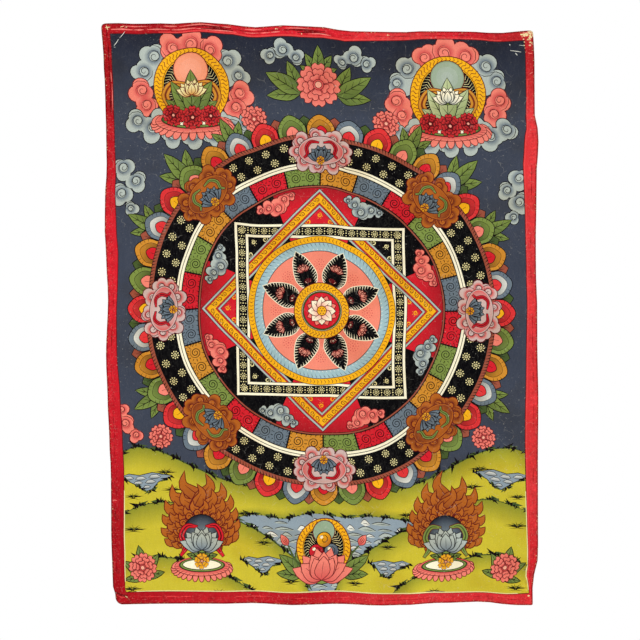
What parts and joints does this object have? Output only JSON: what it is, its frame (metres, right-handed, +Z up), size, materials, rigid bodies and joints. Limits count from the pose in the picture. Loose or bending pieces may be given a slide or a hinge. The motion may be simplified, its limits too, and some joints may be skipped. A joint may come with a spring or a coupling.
{
  "type": "painted cotton hanging",
  "caption": "Upright rectangular painting on primed cotton cloth with a red painted margin, its edge turned to the back as a narrow hem, hung by its top edge.",
  "frame": {"origin": "the middle of the top edge, in the middle of the hem's thickness, where the cloth is held", "axes": "+Z up along the sheet's height, +X across it to the viewer's right, -Y towards the viewer in front of the painted face"},
  "size_m": [0.4511, 0.0108, 0.6017],
  "materials": {
    "painted_cotton": "matt distemper paint on primed cotton"
  },
  "bodies": {
    "root": {"painted_cloth": "painted_cotton"}
  },
  "joints": []
}
